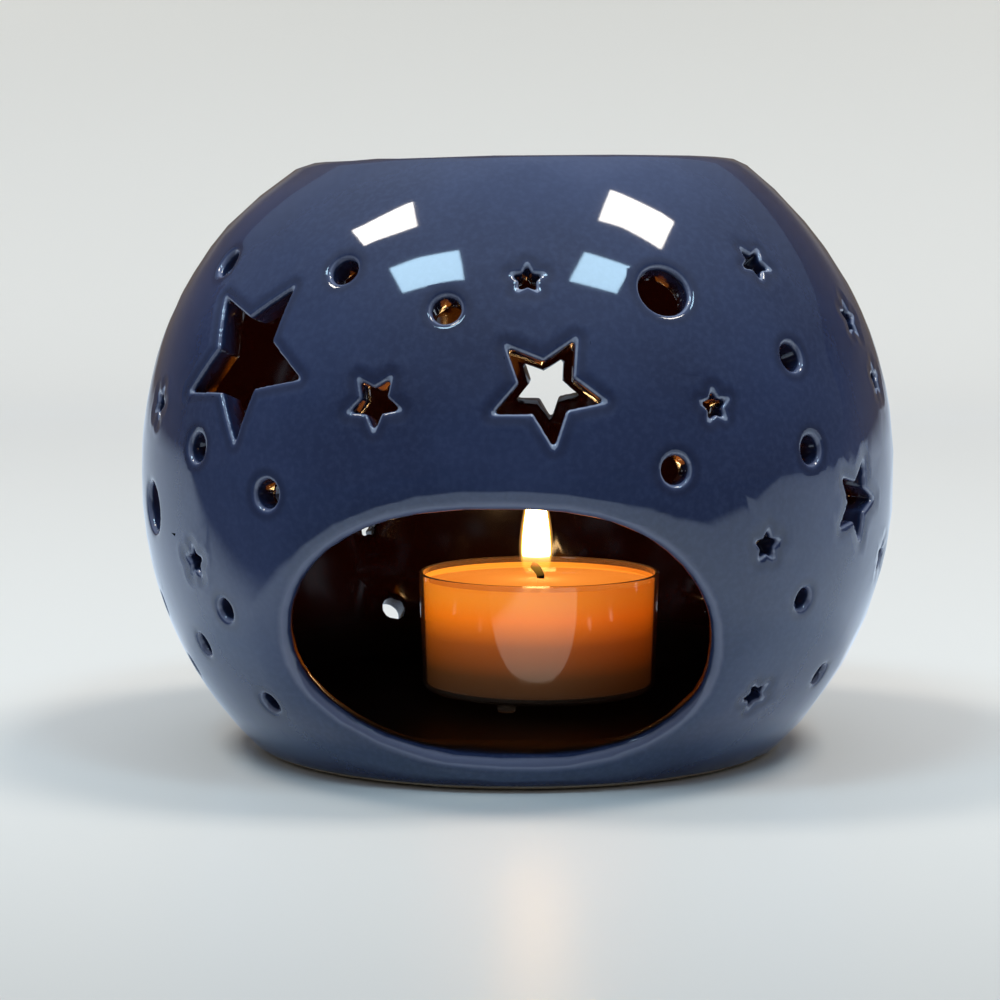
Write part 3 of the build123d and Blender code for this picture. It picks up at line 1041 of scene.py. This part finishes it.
# %% [markdown]
# ## Studio
#
# The floor is a plain pale sweep that turns up behind the object, so there is no line where it ends.
# The light comes from four panels overhead, which show in the glaze as two pairs of bright patches,
# and from a dim, even surround.

# %% Lay the sweep
FLOOR_WIDTH = 4000.0
FLOOR_FRONT = -2200.0
FLOOR_BACK = 1100.0
SWEEP_HEIGHT = 700.0
SWEEP_ROUND = 420.0

bpy.ops.object.select_all(action="DESELECT")
bpy.ops.mesh.primitive_plane_add(size=MM)
sweep = bpy.context.object
bpy.ops.object.mode_set(mode="EDIT")
bpy.ops.mesh.select_all(action="SELECT")
bpy.ops.transform.resize(value=(FLOOR_WIDTH, FLOOR_BACK - FLOOR_FRONT, 1))
bpy.ops.transform.translate(value=(0, (FLOOR_BACK + FLOOR_FRONT) / 2 * MM, 0))
bpy.ops.object.mode_set(mode="OBJECT")
for edge_of_floor in sweep.data.edges:
    ends = [sweep.data.vertices[index].co.y for index in edge_of_floor.vertices]
    edge_of_floor.select = min(ends) > (FLOOR_BACK - 1) * MM
for corner in sweep.data.vertices:
    corner.select = corner.co.y > (FLOOR_BACK - 1) * MM
for face in sweep.data.polygons:
    face.select = False
bpy.ops.object.mode_set(mode="EDIT")
bpy.ops.mesh.select_mode(type="EDGE")
bpy.ops.mesh.extrude_edges_move(TRANSFORM_OT_translate={"value": (0, 0, SWEEP_HEIGHT * MM)})
bpy.ops.object.mode_set(mode="OBJECT")
add_modifier(sweep, "BEVEL", width=SWEEP_ROUND * MM, segments=24, limit_method="ANGLE")
only(sweep)
bpy.ops.object.shade_smooth()
sweep.name = "sweep"

# %% [markdown]
# The paper is pale to the eye, and painted shade makes it a little darker towards the camera. In the
# glaze it shows a painted reflection of a table in a room: pale as far as the table's front edge, with
# its left corner cut off, and dark past it. Upright it is darker and warmer, to the eye and more so in
# that painted reflection, so that the globe's rim stays dark.

# %% Make the paper
TABLE_FRONT = -150.0
TABLE_CORNER = (-93.0, -46.0)
TABLE_SKEWS = (-1.65, -0.437)
EDGE_SOFTNESS = (-25.0, 15.0)

paper, tree, output = new_material("studio_paper_pale")
coordinates = add_node(tree, "TexCoord").outputs["Object"]
upright = glow_by_height(tree, coordinates, [(0.0, linear("#e4e1db")), (1.0, linear("#cdc6bb"))], 10, 420)
on_floor = add_node(tree, "SeparateXYZ", inputs={"Vector": coordinates})
# Painted shade: the paper darkens towards the camera, where less light falls.
painted_shade_near_camera = step_between(tree, on_floor.outputs["Y"], -260 * MM, 20 * MM, 1.0, 0.0)
tone = mix_colours(tree, painted_shade_near_camera, upright, linear("#b2afaa"))
# Painted reflection: in the glaze the paper shows as a pale table, brown upright, and dark past the table's
# edge.
table = glow_by_height(tree, coordinates, [(0.0, linear("#e8f2ff")), (1.0, linear("#6b5a48"))], 2, 60)
lines = [
    calculate(tree, "MULTIPLY_ADD", on_floor.outputs["X"], skew,
              (TABLE_CORNER[1] - skew * TABLE_CORNER[0]) * MM)
    for skew in TABLE_SKEWS]
left_edge = calculate(tree, "MINIMUM", *lines)
edge_line = calculate(tree, "MAXIMUM", left_edge, TABLE_FRONT * MM)
behind_edge = calculate(tree, "SUBTRACT", on_floor.outputs["Y"], edge_line)
past_table = step_between(tree, behind_edge, *[soft * MM for soft in EDGE_SOFTNESS], 1.0, 0.0)
painted_room_reflection = mix_colours(tree, past_table, table, linear("#3a342e"))
in_glaze = add_node(tree, "LightPath").outputs["Is Glossy Ray"]
shader = add_node(tree, "BsdfPrincipled", inputs={
    "Base Color": mix_colours(tree, in_glaze, tone, painted_room_reflection), "Roughness": 0.36, "IOR": 1.4})
tree.links.new(shader.outputs[0], output.inputs["Surface"])
sweep.data.materials.append(paper)

# %% [markdown]
# ### Panels and surround
#
# Two warm white panels hang above and two pale blue ones further to the front, where the globe mirrors
# them as the four bright patches of the photograph. Everything else is an even surround that gets
# brighter upwards, as the light in a room does. It fills the shadows and gives the glaze its sheen.

# %% Hang the panels
PANEL_HEIGHT = 1600.0
# Each panel: its place across and along, its width and length, its colour and its radiance
PANELS = {
    "panel_left": ((-838, 109), (450, 350), "#fff8ee", 22.0),
    "panel_right": ((749, 94), (510, 375), "#fff8ee", 22.0),
    "panel_front_left": ((-668, -651), (580, 350), "#bde3fb", 17.0),
    "panel_front_right": ((671, -641), (390, 365), "#bde3fb", 17.0),
}
for name, ((across, along), (width, length), colour, radiance) in PANELS.items():
    lamp = bpy.data.lights.new(name, "AREA")
    lamp.shape = "RECTANGLE"
    lamp.size, lamp.size_y = width * MM, length * MM
    lamp.color = linear(colour)[:3]
    lamp.energy = radiance * math.pi * lamp.size * lamp.size_y
    panel = bpy.data.objects.new(name, lamp)
    panel.location = (across * MM, along * MM, PANEL_HEIGHT * MM)
    bpy.context.scene.collection.objects.link(panel)

world = bpy.data.worlds.new("surround")
bpy.context.scene.world = world
world.use_nodes = True
tree = world.node_tree
direction = add_node(tree, "TexCoord").outputs["Generated"]
height = add_node(tree, "SeparateXYZ", inputs={"Vector": direction}).outputs["Z"]
room = add_node(tree, "ValToRGB", inputs={"Fac": height})
set_ramp(room, [(0.0, linear("#57524c")), (0.3, linear("#67676a")), (0.62, linear("#9aa2ae")),
                (0.95, linear("#d3e0f2"))])
background = tree.nodes["Background"]
tree.links.new(room.outputs["Color"], background.inputs["Color"])
background.inputs["Strength"].default_value = 1.0

# %% [markdown]
# ## Camera
#
# The lens and the place come from solving the photograph: the rim of the tealight and the outline of
# the globe fix how far off and how high it was. It looks down by six degrees.

# %% Place the camera
LENS = 102.64
SENSOR_WIDTH = 36.0
CAMERA_PLACE = (17.38, -452.5, 86.67)
CAMERA_TILT = 83.947
CAMERA_TURN = 2.547

camera_data = bpy.data.cameras.new("camera")
camera_data.lens = LENS
camera_data.sensor_width = SENSOR_WIDTH
camera_data.clip_start = 0.01
camera = bpy.data.objects.new("camera", camera_data)
camera.location = [c * MM for c in CAMERA_PLACE]
camera.rotation_euler = (math.radians(CAMERA_TILT), 0, math.radians(CAMERA_TURN))
bpy.context.scene.collection.objects.link(camera)
bpy.context.scene.camera = camera
bpy.context.scene.view_settings.view_transform = "Standard"
